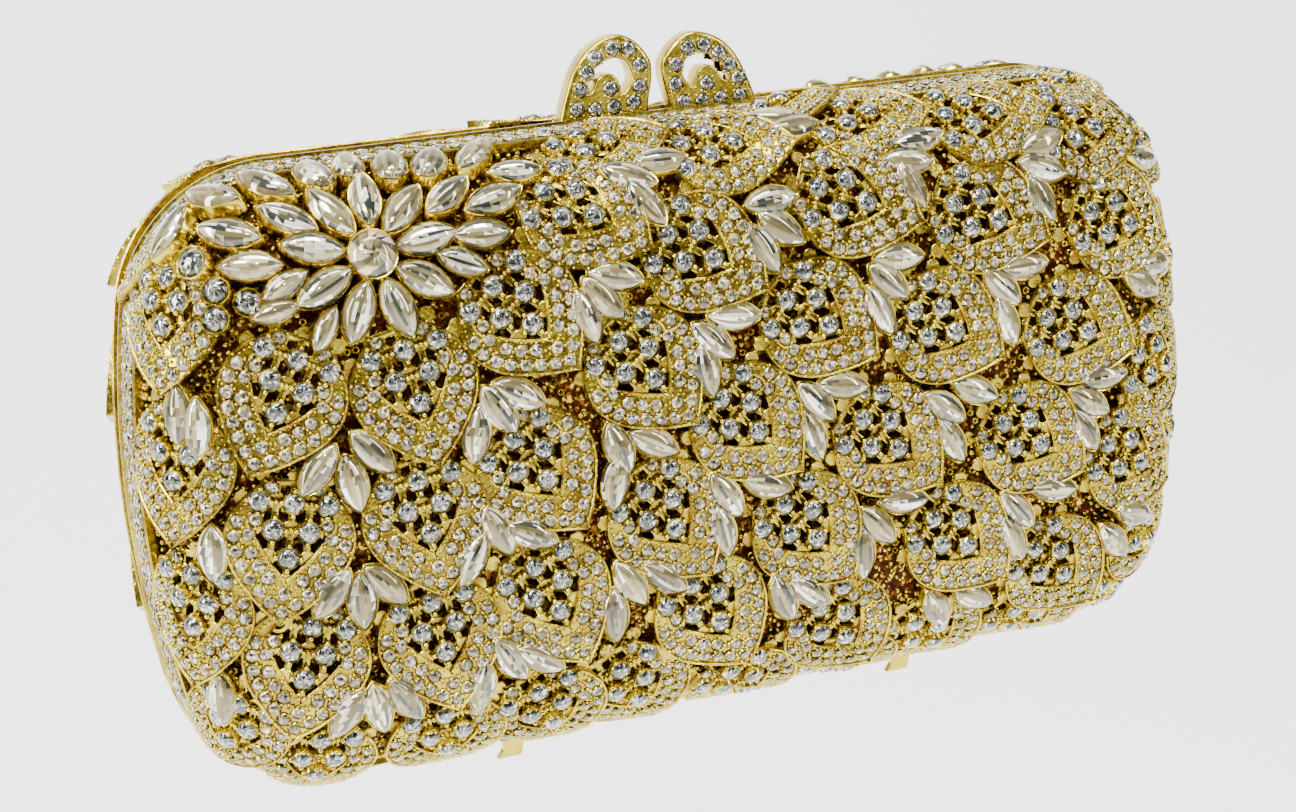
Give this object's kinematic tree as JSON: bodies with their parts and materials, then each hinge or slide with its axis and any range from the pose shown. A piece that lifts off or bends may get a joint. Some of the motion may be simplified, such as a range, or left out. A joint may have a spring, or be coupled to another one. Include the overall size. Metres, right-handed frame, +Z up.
{
  "type": "evening clutch",
  "caption": "Evening clutch of two openwork metal half shells hinged along the bottom, with stone settings, a kiss-lock clasp, lined bowls and feet.",
  "frame": {"origin": "middle of the bag's footprint, on the surface that its feet stand on", "axes": "+X along the bag's length towards the right of its front, +Y from the front to the back, +Z up"},
  "size_m": [0.1882, 0.0528, 0.1185],
  "materials": {
    "casting": "pale gold plated casting",
    "frame": "polished pale gold plate",
    "backing": "dark red-brown enamel with gold glitter",
    "lining": "matt gold fabric",
    "stone": "clear cut glass with a foiled back"
  },
  "bodies": {
    "back_half": {"back_shell": "casting", "back_frame": "frame", "back_backing": "backing", "back_lining": "lining", "back_flower_centre": "stone", "back_flower_petal_1": "stone", "back_flower_petal_2": "stone", "back_flower_petal_3": "stone", "back_flower_petal_4": "stone", "back_flower_petal_5": "stone", "back_flower_petal_6": "stone", "back_flower_petal_7": "stone", "back_flower_petal_8": "stone", "back_flower_petal_9": "stone", "back_foot_left": "frame", "back_foot_right": "frame", "hinge_left_back_leaf": "frame", "hinge_right_back_leaf": "frame", "hinge_left_pin": "frame", "hinge_right_pin": "frame", "clasp_right_paddle": "frame", "chain_eyelet_left": "frame", "chain_eyelet_right": "frame"},
    "front_half": {"front_shell": "casting", "front_frame": "frame", "front_backing": "backing", "front_lining": "lining", "front_flower_centre": "stone", "front_flower_petal_1": "stone", "front_flower_petal_2": "stone", "front_flower_petal_3": "stone", "front_flower_petal_4": "stone", "front_flower_petal_5": "stone", "front_flower_petal_6": "stone", "front_flower_petal_7": "stone", "front_flower_petal_8": "stone", "front_flower_petal_9": "stone", "front_foot_left": "frame", "front_foot_right": "frame", "hinge_left_front_leaf": "frame", "hinge_right_front_leaf": "frame", "clasp_left_paddle": "frame"},
    "chain_ring_left": {"chain_ring_left": "frame"},
    "chain_ring_right": {"chain_ring_right": "frame"}
  },
  "joints": [
    {"name": "front_half_hinge", "type": "hinge", "parent": "back_half", "child": "front_half", "pos_m": [0, 0, 0.0024], "axis": [1, 0, 0], "range_deg": [0, 80]},
    {"name": "chain_ring_left_swing", "type": "hinge", "parent": "back_half", "child": "chain_ring_left", "pos_m": [-0.064, 0.0042, 0.0968], "axis": [1, 0, 0], "range_deg": [-75, 75]},
    {"name": "chain_ring_right_swing", "type": "hinge", "parent": "back_half", "child": "chain_ring_right", "pos_m": [0.064, 0.0042, 0.0968], "axis": [1, 0, 0], "range_deg": [-75, 75]}
  ]
}
